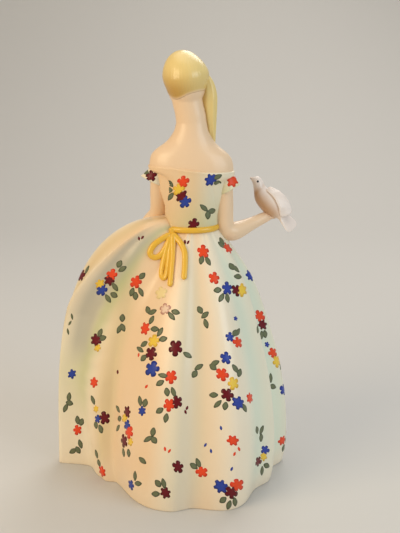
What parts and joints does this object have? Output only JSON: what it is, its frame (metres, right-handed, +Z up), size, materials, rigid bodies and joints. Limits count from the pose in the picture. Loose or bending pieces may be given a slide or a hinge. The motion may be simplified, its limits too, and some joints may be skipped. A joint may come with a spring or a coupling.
{
  "type": "ceramic lady figurine",
  "caption": "Standing ceramic lady in a full fluted dress with a ribbon bow, holding out her skirt in one hand and a perched dove on the other.",
  "frame": {"origin": "on the table under the middle of the figure's bounding box", "axes": "+Z up, +Y the way the lady faces, +X her right-hand side with the bird"},
  "size_m": [0.1633, 0.1363, 0.2805],
  "materials": {
    "dress": "ivory satin glaze with pale green airbrushed in the fold valleys and hand-painted strewn flowers",
    "skin": "pale flesh satin glaze",
    "hair": "straw-yellow satin glaze, darker towards the nape",
    "ribbon": "golden-yellow glaze",
    "bird": "ivory satin glaze with a warm tint on the breast"
  },
  "bodies": {
    "root": {"skirt": "dress", "bodice": "dress", "left_sleeve": "dress", "right_sleeve": "dress", "bust": "skin", "left_arm": "skin", "right_arm": "skin", "hair_cap": "hair", "hair_tress": "hair", "bird_body": "bird", "bird_left_wing": "bird", "bird_right_wing": "bird", "belt": "ribbon", "bow_knot": "ribbon", "bow_side_loop": "ribbon", "bow_lower_loop": "ribbon", "bow_long_tail": "ribbon", "bow_short_tail": "ribbon"}
  },
  "joints": []
}
